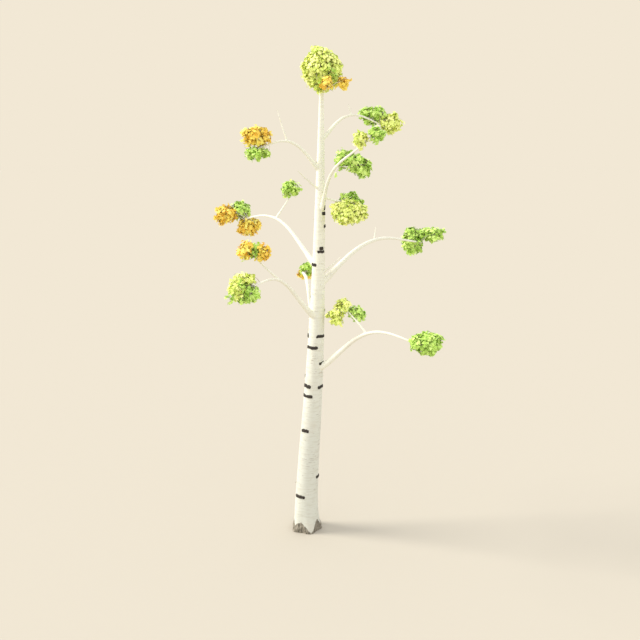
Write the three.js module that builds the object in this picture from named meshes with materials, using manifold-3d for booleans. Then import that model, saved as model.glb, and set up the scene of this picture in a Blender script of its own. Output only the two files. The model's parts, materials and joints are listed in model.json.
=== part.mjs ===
// White birch: one leaning trunk, arching boughs that fork once, and small separate masses of leaves.
// Millimetres, +Z up. The origin is the middle of the flat cut under the trunk, at ground level.
// +X is right and +Y is the back. Headings are degrees from +X towards +Y, rises degrees above level.

import * as THREE from "three";
import { mergeVertices } from "three/addons/utils/BufferGeometryUtils.js";
import Module from "manifold-3d";

const wasm = await Module();
wasm.setup();

// ---- driving dimensions ----

const clearance = 0.35; // between pieces that touch
const weldDistance = 1e-4; // vertices nearer than this are one

const trunk = {
  height: 8360, // the tip, inside the topmost leaves
  fullHeight: 9000, // where the taper would run out
  footRadius: 220, // at the ground, before the flare is added
  endRadius: 18, // at fullHeight
  taper: 1.22,
  flare: 48, // added all round at the ground
  flareHeight: 350,
  toes: 5, // ridges of the root flare
  toeDepth: 26,
  toeHeight: 240,
  lean: 346, // sideways reach of the lean
  leanHeight: 3250, // height at which half of it is reached
  bow: 45, // bend towards the back at mid height
  sides: 15,
  rings: 22,
  ringCrowding: 1.5, // above 1, so that the rings are closer together at the foot
};

const limbShape = {
  taper: 1.2,
  collar: 0.35, // share by which a limb widens where it leaves its parent
  collarLength: 120,
  ofParent: 0.88, // never a larger share than this of its parent's radius
  bendWidth: 0.28, // a bend spreads over this share of the length to each side
  steps: 24, // of the middle line
  ringSpacing: 190,
  rings: [3, 13], // the fewest and the most
  thickFrom: 30, // radius at the foot from which a limb counts as thick
  sides: { thick: 8, thin: 6 },
};

const massShape = {
  unevenness: 0.34, // share of the radius
};

// A limb leaves the trunk at a height, or a bough at a share of that bough's length. heading is the
// way it grows and sway how far it swings off that to each side in turn. rise is its climb at the
// start and at the tip, bend the share of the length where one turns into the other, and radius the
// one at the start and at the tip.
const limbs = [
  {
    name: "low_right_bough", on: "trunk", from: 3120,
    heading: -27, sway: 8, rise: [44.5, -13], bend: 0.61, length: 2460, radius: [62, 16],
  },
  {
    name: "low_right_fork", on: "low_right_bough", from: 0.56,
    heading: 140, sway: 0, rise: [42, 34], bend: 0.5, length: 610, radius: [20, 12],
  },
  {
    name: "mid_right_bough", on: "trunk", from: 4790,
    heading: 38, sway: -8, rise: [38.5, -12], bend: 0.48, length: 2880, radius: [58, 15],
  },
  {
    name: "mid_right_twig", on: "mid_right_bough", from: 0.52,
    heading: 70, sway: 0, rise: [62, 74], bend: 0.5, length: 250, radius: [12, 7],
  },
  {
    name: "mid_right_spur", on: "trunk", from: 5000,
    heading: -20, sway: 0, rise: [40, 44], bend: 0.5, length: 570, radius: [24, 9],
  },
  {
    name: "high_right_bough", on: "trunk", from: 5970,
    heading: -55.5, sway: -7, rise: [71.5, 28.5], bend: 0.47, length: 2090, radius: [44, 14],
  },
  {
    name: "high_right_fork", on: "high_right_bough", from: 0.57,
    heading: -12, sway: 0, rise: [8, -10], bend: 0.5, length: 240, radius: [16, 11],
  },
  {
    name: "top_right_bough", on: "trunk", from: 7420,
    heading: 14, sway: 6, rise: [48, -25], bend: 0.52, length: 1340, radius: [34, 12],
  },
  {
    name: "top_right_twig", on: "top_right_bough", from: 0.55,
    heading: 125, sway: 0, rise: [60, 66], bend: 0.5, length: 190, radius: [11, 6],
  },
  {
    name: "top_left_bough", on: "trunk", from: 6880,
    heading: 201, sway: -6, rise: [51, -18.5], bend: 0.56, length: 1410, radius: [40, 12],
  },
  {
    name: "top_left_twig", on: "top_left_bough", from: 0.6,
    heading: 176, sway: 0, rise: [70, 74], bend: 0.5, length: 540, radius: [17, 7],
  },
  {
    name: "bare_left_spur", on: "trunk", from: 6560,
    heading: 225, sway: 0, rise: [32, 37], bend: 0.5, length: 660, radius: [22, 8],
  },
  {
    name: "mid_left_bough", on: "trunk", from: 5130,
    heading: 136, sway: -6, rise: [38.5, -15], bend: 0.65, length: 2280, radius: [52, 14],
  },
  {
    name: "mid_left_fork", on: "mid_left_bough", from: 0.63,
    heading: 30, sway: 0, rise: [50, 55], bend: 0.5, length: 550, radius: [19, 11],
  },
  {
    name: "low_left_bough", on: "trunk", from: 4140,
    heading: 231.5, sway: -8, rise: [47.5, -7], bend: 0.67, length: 2100, radius: [58, 15],
  },
  {
    name: "low_left_fork", on: "low_left_bough", from: 0.64,
    heading: 196, sway: 0, rise: [42, 46], bend: 0.5, length: 620, radius: [23, 12],
  },
  {
    name: "back_bough", on: "trunk", from: 3760,
    heading: 108, sway: 9, rise: [68.5, 4.5], bend: 0.72, length: 1580, radius: [46, 30],
  },
  {
    name: "front_bough", on: "trunk", from: 6520,
    heading: -30, sway: 0, rise: [-36, -2], bend: 0.45, length: 440, radius: [22, 15],
  },
  {
    name: "crown_side_bough", on: "trunk", from: 8230,
    heading: -50, sway: 0, rise: [34, 16], bend: 0.5, length: 340, radius: [18, 10],
  },
];

// A mass of leaves: the offset of its middle from its limb's tip, its width, depth and height, the
// angle by which its right side dips, and the seed of its own unevenness.
const masses = [
  {
    place: "crown_top", tint: "lime", on: "trunk",
    at: [0, 20, 262], size: [730, 690, 800], dip: 10, seed: 5,
  },
  {
    place: "crown_side_inner", tint: "amber", on: "crown_side_bough",
    at: [-105, -40, 50], size: [260, 250, 270], dip: 0, seed: 12,
  },
  {
    place: "crown_side_outer", tint: "amber", on: "crown_side_bough",
    at: [150, 0, 30], size: [280, 270, 250], dip: 8, seed: 13,
  },
  {
    place: "crown_side_upper", tint: "green", on: "crown_side_bough",
    at: [-70, 40, 195], size: [300, 230, 220], dip: 0, seed: 14,
  },
  {
    place: "low_right", tint: "green", on: "low_right_bough",
    at: [115, 10, 10], size: [610, 500, 430], dip: 6, seed: 21,
  },
  {
    place: "low_right_fork_top", tint: "lime", on: "low_right_fork",
    at: [-50, 60, 80], size: [330, 300, 260], dip: 0, seed: 22,
  },
  {
    place: "low_right_fork_left", tint: "lime", on: "low_right_fork",
    at: [-190, -50, -100], size: [380, 320, 340], dip: 0, seed: 23,
  },
  {
    place: "low_right_fork_right", tint: "green", on: "low_right_fork",
    at: [200, 40, -95], size: [370, 320, 260], dip: 14, seed: 24,
  },
  {
    place: "mid_right_inner", tint: "green", on: "mid_right_bough",
    at: [-145, 100, 45], size: [470, 440, 580], dip: 0, seed: 31,
  },
  {
    place: "mid_right_outer", tint: "green", on: "mid_right_bough",
    at: [205, 120, 140], size: [550, 440, 330], dip: 0, seed: 32,
  },
  {
    place: "high_right_inner", tint: "lime", on: "high_right_bough",
    at: [-85, 20, 50], size: [290, 290, 300], dip: -20, seed: 41,
  },
  {
    place: "high_right_outer", tint: "green", on: "high_right_bough",
    at: [160, 50, 120], size: [290, 290, 270], dip: -20, seed: 42,
  },
  {
    place: "high_right_fork_inner", tint: "green", on: "high_right_fork",
    at: [-20, 140, 100], size: [490, 400, 400], dip: 25, seed: 43,
  },
  {
    place: "high_right_fork_outer", tint: "green", on: "high_right_fork",
    at: [200, 20, 10], size: [370, 340, 390], dip: 10, seed: 44,
  },
  {
    place: "top_right_inner", tint: "green", on: "top_right_bough",
    at: [-155, 110, 160], size: [500, 380, 330], dip: 0, seed: 51,
  },
  {
    place: "top_right_outer", tint: "lime", on: "top_right_bough",
    at: [145, 0, 30], size: [450, 420, 380], dip: 0, seed: 52,
  },
  {
    place: "top_left_upper", tint: "amber", on: "top_left_bough",
    at: [-25, 50, 180], size: [530, 460, 400], dip: 0, seed: 61,
  },
  {
    place: "top_left_lower", tint: "green", on: "top_left_bough",
    at: [-20, 20, -75], size: [450, 400, 280], dip: 0, seed: 62,
  },
  {
    place: "mid_left_outer", tint: "amber", on: "mid_left_bough",
    at: [-375, 0, 95], size: [480, 400, 390], dip: -12, seed: 71,
  },
  {
    place: "mid_left_upper", tint: "green", on: "mid_left_bough",
    at: [-95, 90, 150], size: [440, 400, 410], dip: 10, seed: 72,
  },
  {
    place: "mid_left_lower", tint: "amber", on: "mid_left_bough",
    at: [80, 60, -150], size: [490, 420, 390], dip: 0, seed: 73,
  },
  {
    place: "mid_left_fork", tint: "green", on: "mid_left_fork",
    at: [0, 10, 105], size: [440, 400, 340], dip: 0, seed: 74,
  },
  {
    place: "low_left_fork_outer", tint: "amber", on: "low_left_fork",
    at: [-160, -40, 140], size: [320, 310, 340], dip: 0, seed: 81,
  },
  {
    place: "low_left_fork_middle", tint: "green", on: "low_left_fork",
    at: [-25, 20, 100], size: [250, 290, 310], dip: 0, seed: 82,
  },
  {
    place: "low_left_fork_inner", tint: "amber", on: "low_left_fork",
    at: [145, -10, 100], size: [270, 280, 320], dip: 0, seed: 83,
  },
  {
    place: "low_left_upper", tint: "lime", on: "low_left_bough",
    at: [-190, 90, 75], size: [450, 360, 250], dip: -10, seed: 84,
  },
  {
    place: "low_left_outer", tint: "lime", on: "low_left_bough",
    at: [-275, -50, -80], size: [330, 330, 310], dip: 0, seed: 85,
  },
  {
    place: "low_left_lower", tint: "green", on: "low_left_bough",
    at: [-150, 0, -135], size: [480, 400, 340], dip: 0, seed: 86,
  },
  {
    place: "back_upper", tint: "green", on: "back_bough",
    at: [95, 70, 67], size: [400, 340, 260], dip: -8, seed: 91,
  },
  {
    place: "back_lower", tint: "amber", on: "back_bough",
    at: [55, 190, -35], size: [400, 380, 240], dip: 0, seed: 92,
  },
  {
    place: "front_lower", tint: "lime", on: "front_bough",
    at: [135, -52, -183], size: [700, 564, 500], dip: 14, seed: 95,
  },
  {
    place: "front_upper", tint: "green", on: "front_bough",
    at: [208, 199, -12], size: [450, 355, 334], dip: 20, seed: 96,
  },
];

const bark = { color: "#f3f0e2", roughness: 0.62 };
const foliage = {
  lime: { color: "#cfdb52", roughness: 0.6 },
  green: { color: "#8dbf45", roughness: 0.6 },
  amber: { color: "#f0b53c", roughness: 0.6 },
};

// ---- helpers ----

const radians = THREE.MathUtils.degToRad;

// Evenly spread random numbers from 0 to 1 that are the same on every run.
function randomSeries(seed) {
  const multiplier = 16807;
  const modulus = 2147483647;
  let state = seed * 7919 + 17;
  return () => {
    state = (state * multiplier) % modulus;
    return state / modulus;
  };
}

function toSolid(geometry) {
  const bare = geometry.clone();
  bare.deleteAttribute("normal");
  bare.deleteAttribute("uv");
  const merged = mergeVertices(bare, weldDistance);
  return new wasm.Manifold(
    new wasm.Mesh({
      numProp: 3,
      vertProperties: merged.attributes.position.array,
      triVerts: new Uint32Array(merged.index.array),
    }),
  );
}

function toGeometry(solid) {
  const mesh = solid.getMesh();
  const geometry = new THREE.BufferGeometry();
  geometry.setAttribute("position", new THREE.BufferAttribute(mesh.vertProperties, 3));
  geometry.setIndex(new THREE.BufferAttribute(mesh.triVerts, 1));
  return geometry;
}

// Moves every vertex of a geometry to the place that a function gives for it.
function reshape(geometry, move) {
  const position = geometry.attributes.position;
  const vertex = new THREE.Vector3();
  for (let i = 0; i < position.count; i += 1) {
    vertex.fromBufferAttribute(position, i);
    move(vertex);
    position.setXYZ(i, vertex.x, vertex.y, vertex.z);
  }
  return geometry;
}

// A cylinder of unit radius along Y, from -0.5 to 0.5, for trunk and limbs to be drawn from.
function plainStem(sides, rings) {
  return new THREE.CylinderGeometry(1, 1, 1, sides, rings);
}

// ---- trunk ----

function trunkAxis(height) {
  const leant = height ** 2 / (height ** 2 + trunk.leanHeight ** 2);
  const bowed = Math.sin((Math.PI * height) / trunk.fullHeight);
  return new THREE.Vector3(trunk.lean * leant, trunk.bow * bowed, height);
}

function trunkRadius(height) {
  const taper = 1 - (height / trunk.fullHeight) ** trunk.taper;
  const flare = trunk.flare * Math.exp(-height / trunk.flareHeight);
  return trunk.endRadius + (trunk.footRadius - trunk.endRadius) * taper + flare;
}

function trunkGeometry(grow) {
  return reshape(plainStem(trunk.sides, trunk.rings), (vertex) => {
    const share = vertex.y + 0.5;
    const height = trunk.height * share ** trunk.ringCrowding;
    const angle = Math.atan2(vertex.z, vertex.x);
    const off = Math.hypot(vertex.x, vertex.z);
    const ridge = trunk.toeDepth * Math.exp(-height / trunk.toeHeight) * Math.cos(trunk.toes * angle);
    const radius = (trunkRadius(height) + ridge + grow) * off;
    const axis = trunkAxis(height);
    if (share === 1) axis.z += grow;
    vertex.set(axis.x + radius * Math.cos(angle), axis.y - radius * Math.sin(angle), axis.z);
  });
}

// ---- limbs ----

function smooth(from, to, value) {
  return THREE.MathUtils.smoothstep(value, from, to);
}

function limbHeading(limb, share) {
  return radians(limb.heading + limb.sway * Math.sin(2 * Math.PI * share));
}

function limbDirection(limb, share) {
  const { bendWidth } = limbShape;
  const turned = smooth(limb.bend - bendWidth, limb.bend + bendWidth, share);
  const rise = radians(limb.rise[0] + (limb.rise[1] - limb.rise[0]) * turned);
  const heading = limbHeading(limb, share);
  return new THREE.Vector3(
    Math.cos(heading) * Math.cos(rise),
    Math.sin(heading) * Math.cos(rise),
    Math.sin(rise),
  );
}

// The limb's middle line, from its start on its parent's own middle line to its tip.
function limbLine(limb, start) {
  const points = [start.clone()];
  const step = limb.length / limbShape.steps;
  for (let i = 0; i < limbShape.steps; i += 1) {
    const direction = limbDirection(limb, (i + 0.5) / limbShape.steps);
    points.push(points[i].clone().addScaledVector(direction, step));
  }
  return points;
}

function pointAlong(points, share) {
  const place = THREE.MathUtils.clamp(share, 0, 1) * (points.length - 1);
  const index = Math.min(Math.floor(place), points.length - 2);
  return points[index].clone().lerp(points[index + 1], place - index);
}

function limbRadius(limb, share) {
  const [foot, tip] = limb.radius;
  const plain = tip + (foot - tip) * (1 - share) ** limbShape.taper;
  const past = share * limb.length - limb.buried;
  const widened = plain * (1 + limbShape.collar * Math.min(1, Math.exp(-past / limbShape.collarLength)));
  return Math.min(widened, limbShape.ofParent * limb.parentRadius);
}

function limbGeometry(limb, grow) {
  const sides = limb.radius[0] > limbShape.thickFrom ? limbShape.sides.thick : limbShape.sides.thin;
  const rings = Math.round(limb.length / limbShape.ringSpacing);
  return reshape(plainStem(sides, THREE.MathUtils.clamp(rings, ...limbShape.rings)), (vertex) => {
    const share = vertex.y + 0.5;
    const heading = limbHeading(limb, share);
    const across = new THREE.Vector3(-Math.sin(heading), Math.cos(heading), 0);
    const direction = limbDirection(limb, share);
    const upward = across.clone().cross(direction).negate();
    const radius = limbRadius(limb, share) + grow;
    const middle = pointAlong(limb.line, share);
    if (share === 1) middle.addScaledVector(direction, grow);
    const sideways = vertex.x * radius;
    const lift = vertex.z * radius;
    vertex.copy(middle).addScaledVector(across, sideways).addScaledVector(upward, -lift);
  });
}

// ---- masses of leaves ----

function massGeometry(mass) {
  const random = randomSeries(mass.seed);
  const bare = new THREE.IcosahedronGeometry(1, 1);
  bare.deleteAttribute("normal");
  bare.deleteAttribute("uv");
  const ball = mergeVertices(bare, weldDistance);
  reshape(ball, (vertex) => vertex.multiplyScalar(1 - massShape.unevenness * random()));
  ball.computeBoundingBox();
  const middle = ball.boundingBox.getCenter(new THREE.Vector3());
  const extent = ball.boundingBox.getSize(new THREE.Vector3());
  ball.translate(-middle.x, -middle.y, -middle.z);
  ball.scale(mass.size[0] / extent.x, mass.size[1] / extent.y, mass.size[2] / extent.z);
  ball.rotateY(radians(mass.dip));
  return ball;
}

// The distance from the middle of a mass to the nearest of its faces, each taken as an endless plane.
function nearestFace(geometry) {
  const corner = [new THREE.Vector3(), new THREE.Vector3(), new THREE.Vector3()];
  const plane = new THREE.Plane();
  let nearest = Infinity;
  for (let i = 0; i < geometry.index.count; i += 3) {
    corner.forEach((point, k) => {
      point.fromBufferAttribute(geometry.attributes.position, geometry.index.getX(i + k));
    });
    plane.setFromCoplanarPoints(...corner);
    nearest = Math.min(nearest, Math.abs(plane.constant));
  }
  return nearest;
}

// ---- assembly ----

const tree = new THREE.Group();
const grown = []; // every finished piece, larger by the clearance, to be cut from the later ones

function boxesMeet(a, b) {
  return [0, 1, 2].every((k) => a.min[k] <= b.max[k] && b.min[k] <= a.max[k]);
}

function addPiece(name, geometry, grownGeometry, origin, look) {
  let solid = toSolid(geometry);
  for (const earlier of grown) {
    if (boxesMeet(solid.boundingBox(), earlier.boundingBox())) solid = solid.subtract(earlier);
  }
  grown.push(toSolid(grownGeometry));
  const material = new THREE.MeshStandardMaterial({ ...look, metalness: 0, flatShading: true });
  const mesh = new THREE.Mesh(toGeometry(solid), material);
  mesh.name = name;
  mesh.geometry.translate(-origin.x, -origin.y, -origin.z);
  mesh.position.copy(origin);
  tree.add(mesh);
}

const lines = { trunk: [trunkAxis(trunk.height)] }; // middle lines, the last point being the tip

function addTrunk() {
  addPiece("trunk", trunkGeometry(0), trunkGeometry(clearance), trunkAxis(0), bark);
}

function addLimb(limb) {
  const parent = limbs.find((other) => other.name === limb.on);
  const start = parent ? pointAlong(lines[limb.on], limb.from) : trunkAxis(limb.from);
  const parentDirection = parent ? limbDirection(parent, limb.from) : new THREE.Vector3(0, 0, 1);
  limb.parentRadius = parent ? limbRadius(parent, limb.from) : trunkRadius(limb.from);
  limb.buried = limb.parentRadius / Math.sin(parentDirection.angleTo(limbDirection(limb, 0)));
  limb.line = limbLine(limb, start);
  lines[limb.name] = limb.line;
  addPiece(limb.name, limbGeometry(limb, 0), limbGeometry(limb, clearance), start, bark);
}

function addMass(mass) {
  const middle = lines[mass.on].at(-1).clone().add(new THREE.Vector3(...mass.at));
  const geometry = massGeometry(mass);
  const swell = 1 + clearance / nearestFace(geometry);
  const swollen = geometry.clone().scale(swell, swell, swell);
  geometry.translate(middle.x, middle.y, middle.z);
  swollen.translate(middle.x, middle.y, middle.z);
  addPiece(`leaves_${mass.place}_${mass.tint}`, geometry, swollen, middle, foliage[mass.tint]);
}

addTrunk();
limbs.forEach(addLimb);
masses.forEach(addMass);

export default tree;
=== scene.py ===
# White birch: bark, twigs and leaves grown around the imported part.
# Metres, +Z up, +X right, +Y the back. Headings are degrees from +X towards +Y.

import json
import math
import random

import bmesh
import bpy
import numpy as np
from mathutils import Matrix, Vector, noise
from mathutils.bvhtree import BVHTree

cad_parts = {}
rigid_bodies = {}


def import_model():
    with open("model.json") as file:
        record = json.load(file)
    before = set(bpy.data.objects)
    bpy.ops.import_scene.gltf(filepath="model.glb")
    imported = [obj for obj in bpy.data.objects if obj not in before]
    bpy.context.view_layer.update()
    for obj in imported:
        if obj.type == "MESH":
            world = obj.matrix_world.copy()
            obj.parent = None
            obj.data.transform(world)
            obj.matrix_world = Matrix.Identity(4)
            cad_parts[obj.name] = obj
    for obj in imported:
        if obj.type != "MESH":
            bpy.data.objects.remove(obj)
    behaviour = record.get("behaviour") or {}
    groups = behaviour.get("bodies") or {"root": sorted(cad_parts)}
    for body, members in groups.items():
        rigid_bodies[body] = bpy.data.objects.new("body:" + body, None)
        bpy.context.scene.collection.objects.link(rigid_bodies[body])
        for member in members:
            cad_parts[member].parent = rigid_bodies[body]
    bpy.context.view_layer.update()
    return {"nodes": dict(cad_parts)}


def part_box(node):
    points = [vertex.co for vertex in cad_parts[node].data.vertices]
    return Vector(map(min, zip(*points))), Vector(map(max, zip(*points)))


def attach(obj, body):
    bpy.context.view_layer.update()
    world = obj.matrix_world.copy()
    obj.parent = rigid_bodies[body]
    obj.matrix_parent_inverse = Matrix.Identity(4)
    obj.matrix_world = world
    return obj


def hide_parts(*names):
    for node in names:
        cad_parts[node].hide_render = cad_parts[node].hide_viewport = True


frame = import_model()
nodes = frame["nodes"]
body = "root"
print("frame:", len(nodes), "nodes")


def newMaterial(name, roughness):
    material = bpy.data.materials.new(name)
    material.use_nodes = True
    shader = material.node_tree.nodes["Principled BSDF"]
    shader.inputs["Roughness"].default_value = roughness
    return material, shader


def addNode(owner, kind, links=None, **settings):
    node = owner.node_tree.nodes.new(kind)
    for name, value in settings.items():
        setattr(node, name, value)
    for socket, source in (links or {}).items():
        if hasattr(source, "is_linked"):
            owner.node_tree.links.new(source, node.inputs[socket])
        else:
            node.inputs[socket].default_value = source
    return node


def addRamp(material, source, stops):
    ramp = addNode(material, "ShaderNodeValToRGB", {"Fac": source})
    elements = ramp.color_ramp.elements
    while len(elements) < len(stops):
        elements.new(0.5)
    for element, (position, color) in zip(elements, stops):
        element.position = position
        element.color = (*color, 1)
    return ramp.outputs["Color"]


def addShareRamp(material, source, stops, share):
    return addRamp(material, source, list(zip(stops, ((0, 0, 0), (share, share, share)))))


def mixColors(material, share, first, second):
    mix = addNode(material, "ShaderNodeMix", {"Factor": share}, data_type="RGBA")
    for socket, color in ((mix.inputs[6], first), (mix.inputs[7], second)):
        if isinstance(color, tuple):
            socket.default_value = (*color, 1)
        else:
            material.node_tree.links.new(color, socket)
    return mix.outputs[2]


def plainMaterial(name, color, roughness):
    material, shader = newMaterial(name, roughness)
    shader.inputs["Base Color"].default_value = (*color, 1)
    return material


# Bark is palest on thin stems, which stand high in the tree. That pale tone is partly younger bark and
# partly painted light: it lightens the upper trunk and the limbs where the crown shades them. It darkens
# between the two radii in girths, and its lenticels and its relief come in between those in markGirths. A
# pair of stops says where in a pattern's noise a color starts and where it is full.
whiteBark = {
    "youngAndLit": {"paper": (0.875, 0.85, 0.72), "cream": (0.82, 0.79, 0.66)},
    "old": {"paper": (0.68, 0.68, 0.595), "cream": (0.62, 0.61, 0.515)}, "girths": (0.11, 0.19),
    "markGirths": (0.02, 0.13), "relief": (0.10, 0.35), "reliefDepth": 0.003, "grainShare": 0.3,
    "blush": (0.66, 0.58, 0.48), "lenticel": (0.24, 0.19, 0.15), "roughness": 0.62,
    "streaks": (5, 5, 34), "patches": (2.2, 2.2, 1.6), "dashes": (9, 9, 105), "grain": (60, 60, 320),
    "paperStops": (0.38, 0.52), "blushStops": (0.56, 0.78), "blushShare": 0.5,
    "lenticelStops": (0.69, 0.73), "lenticelShare": 0.85,
}


def makeWhiteBark():
    look = whiteBark
    material, shader = newMaterial("white_bark", look["roughness"])
    place = addNode(material, "ShaderNodeAttribute", attribute_name="stemPlace").outputs["Vector"]

    def pattern(scale, detail, roughness=0.5):
        moved = addNode(material, "ShaderNodeMapping", {"Vector": place, "Scale": scale})
        return addNode(material, "ShaderNodeTexNoise",
                       {"Vector": moved.outputs["Vector"], "Scale": 1.0, "Detail": detail,
                        "Roughness": roughness}).outputs["Fac"]

    streaks = pattern(look["streaks"], 4, 0.6)
    patches = pattern(look["patches"], 2)
    dashes = pattern(look["dashes"], 1.5)
    grain = pattern(look["grain"], 3)
    girth = addNode(material, "ShaderNodeAttribute", attribute_name="girth").outputs["Fac"]
    thin, thick = look["girths"]
    # Share of the darker old tone by girth. The paler tone on thin stems is partly painted light that
    # offsets the crown's shade.
    ageAndLight = addNode(material, "ShaderNodeMapRange",
                  {"Value": girth, "From Min": thin, "From Max": thick})
    start, full = look["paperStops"]
    youngAndLit, old = [addRamp(material, streaks, [(start, tones["cream"]), (full, tones["paper"])])
                  for tones in (look["youngAndLit"], look["old"])]
    base = mixColors(material, ageAndLight.outputs["Result"], youngAndLit, old)
    blush = addShareRamp(material, patches, look["blushStops"], look["blushShare"])
    tinted = mixColors(material, blush, base, look["blush"])
    dashMarks = addShareRamp(material, dashes, look["lenticelStops"], look["lenticelShare"])
    thin, thick = look["markGirths"]
    shown = addNode(material, "ShaderNodeMapRange",
                    {"Value": girth, "From Min": thin, "From Max": thick})
    marks = addNode(material, "ShaderNodeMath", {0: dashMarks, 1: shown.outputs["Result"]},
                    operation="MULTIPLY").outputs[0]
    marked = mixColors(material, marks, tinted, look["lenticel"])
    links = material.node_tree.links
    links.new(marked, shader.inputs["Base Color"])
    rough = addNode(material, "ShaderNodeMath", {0: grain, 1: look["grainShare"], 2: streaks},
                    operation="MULTIPLY_ADD")
    raised = addNode(material, "ShaderNodeMath", {0: rough.outputs[0], 1: marks}, operation="ADD")
    low, high = look["relief"]
    relief = addNode(material, "ShaderNodeMapRange",
                     {"Value": girth, "From Min": thin, "From Max": thick, "To Min": low, "To Max": high})
    bump = addNode(material, "ShaderNodeBump",
                   {"Height": raised.outputs[0], "Strength": relief.outputs["Result"],
                    "Distance": look["reliefDepth"]})
    links.new(bump.outputs["Normal"], shader.inputs["Normal"])
    return material


roughBark = {"stops": (0.33, 0.5, 0.66), "detail": 6, "fineness": 0.65, "relief": 0.6, "depth": 0.006}


def makeRoughBark(name, colors, scale, roughness):
    look = roughBark
    material, shader = newMaterial(name, roughness)
    place = addNode(material, "ShaderNodeTexCoord").outputs["Object"]
    moved = addNode(material, "ShaderNodeMapping", {"Vector": place, "Scale": scale})
    grain = addNode(material, "ShaderNodeTexNoise",
                    {"Vector": moved.outputs["Vector"], "Scale": 1.0, "Detail": look["detail"],
                     "Roughness": look["fineness"]})
    color = addRamp(material, grain.outputs["Fac"], list(zip(look["stops"], colors)))
    links = material.node_tree.links
    links.new(color, shader.inputs["Base Color"])
    bump = addNode(material, "ShaderNodeBump",
                   {"Height": grain.outputs["Fac"], "Strength": look["relief"],
                    "Distance": look["depth"]})
    links.new(bump.outputs["Normal"], shader.inputs["Normal"])
    return material


materials = {
    "white_bark": makeWhiteBark(),
    "black_bark": makeRoughBark(
        "black_bark", [(0.012, 0.009, 0.007), (0.030, 0.023, 0.017), (0.075, 0.058, 0.045)],
        (38, 38, 90), 0.85),
    "foot_bark": makeRoughBark(
        "foot_bark", [(0.055, 0.048, 0.036), (0.25, 0.22, 0.165), (0.44, 0.385, 0.31)],
        (22, 22, 9), 0.9),
    "twig_bark": plainMaterial("twig_bark", (0.23, 0.165, 0.115), 0.6),
    "pale_twig_bark": plainMaterial("pale_twig_bark", (0.58, 0.55, 0.46), 0.6),
    "shoot": plainMaterial("shoot", (0.34, 0.30, 0.12), 0.6),
    "paper_curl": plainMaterial("paper_curl", (0.62, 0.55, 0.45), 0.65),
}
print("materials made")


def finish(name, mesh, materialNames, replaced=()):
    piece = bpy.data.objects.new(name, mesh)
    bpy.context.scene.collection.objects.link(piece)
    for materialName in materialNames:
        mesh.materials.append(materials[materialName])
    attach(piece, body)
    if replaced:
        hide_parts(*replaced)
    return piece


def meshFrom(name, bm, smooth=True):
    bmesh.ops.recalc_face_normals(bm, faces=bm.faces[:])
    for face in bm.faces:
        face.smooth = smooth
    mesh = bpy.data.meshes.new(name)
    bm.to_mesh(mesh)
    bm.free()
    return mesh


def corners(node):
    mesh = nodes[node].data
    points = np.array([vertex.co for vertex in mesh.vertices])
    mesh.calc_loop_triangles()
    return points[np.array([triangle.vertices for triangle in mesh.loop_triangles])]


# The middle and the mean radius of the cut that a plane makes, looked for near its own point.
def crossSection(triangles, point, normal, near=0.45):
    height = (triangles - point) @ normal
    cuts = []
    for a, b in ((0, 1), (1, 2), (2, 0)):
        crossed = (height[:, a] < 0) != (height[:, b] < 0)
        first, second = triangles[crossed, a], triangles[crossed, b]
        share = height[crossed, a] / (height[crossed, a] - height[crossed, b])
        cuts.append(first + share[:, None] * (second - first))
    cuts = np.vstack(cuts)
    cuts = cuts[np.linalg.norm(cuts - point, axis=1) < near]
    if len(cuts) < 6:
        return None, 0
    low, high = cuts.min(0), cuts.max(0)
    middle = cuts.mean(0)
    middle = 0.5 * middle + 0.25 * (low + high)
    return middle, float(np.linalg.norm(cuts - middle, axis=1).mean())


# A line of points and radii with even steps, its corners rounded off.
def evenLine(points, radii, step, rounding):
    points, radii = np.array(points), np.array(radii)
    gone = np.concatenate([[0], np.cumsum(np.linalg.norm(np.diff(points, axis=0), axis=1))])
    count = max(3, round(gone[-1] / step))
    at = np.linspace(0, gone[-1], count + 1)
    line = np.column_stack([np.interp(at, gone, points[:, k]) for k in range(3)])
    width = np.interp(at, gone, radii)
    for _ in range(rounding):
        line[1:-1] = 0.25 * line[:-2] + 0.5 * line[1:-1] + 0.25 * line[2:]
        width[1:-1] = 0.25 * width[:-2] + 0.5 * width[1:-1] + 0.25 * width[2:]
    return {"points": line, "radii": width, "along": at}


trunkReading = {"from": 0.02, "shortOfTop": 0.005, "stride": 0.06, "middle": (0.15, 0), "near": 0.8,
                "past": 0.03, "rounding": 30}


def readTrunk(step):
    look = trunkReading
    triangles = corners("trunk")
    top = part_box("trunk")[1].z
    upward = np.array([0, 0, 1.0])
    points, radii = [], []
    for height in np.arange(look["from"], top - look["shortOfTop"], look["stride"]):
        point = np.array([*look["middle"], height])
        middle, radius = crossSection(triangles, point, upward, look["near"])
        points.append(middle)
        radii.append(radius)
    points = [points[0] - look["from"] * upward, *points, points[-1] + look["past"] * upward]
    return evenLine(points, [radii[0], *radii, radii[-1]], step, look["rounding"])


# How far each point lies from a line, and that line's radius there.
def distanceToLine(points, line):
    gaps = np.linalg.norm(points[:, None] - line["points"][None], axis=2)
    nearest = gaps.argmin(1)
    return gaps.min(1), line["radii"][nearest], nearest


# Lengths, but for tipSpread, which is a share of the tip's own edges, stopShort, which is a share of
# the limb's radius and a length, and shortPace, the pace into the parent of a limb that has fewer
# than lastCuts cuts.
limbReading = {"stride": 0.03, "tipReach": 0.012, "tipEdge": 0.002, "tipSpread": 2.2,
               "inner": (0.05, 0.3), "inset": 0.01, "stopShort": (0.9, 0.004), "shortPace": 0.7,
               "lastCuts": 5, "fineStride": 0.005, "deepest": 0.6, "rounding": 12}


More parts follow.
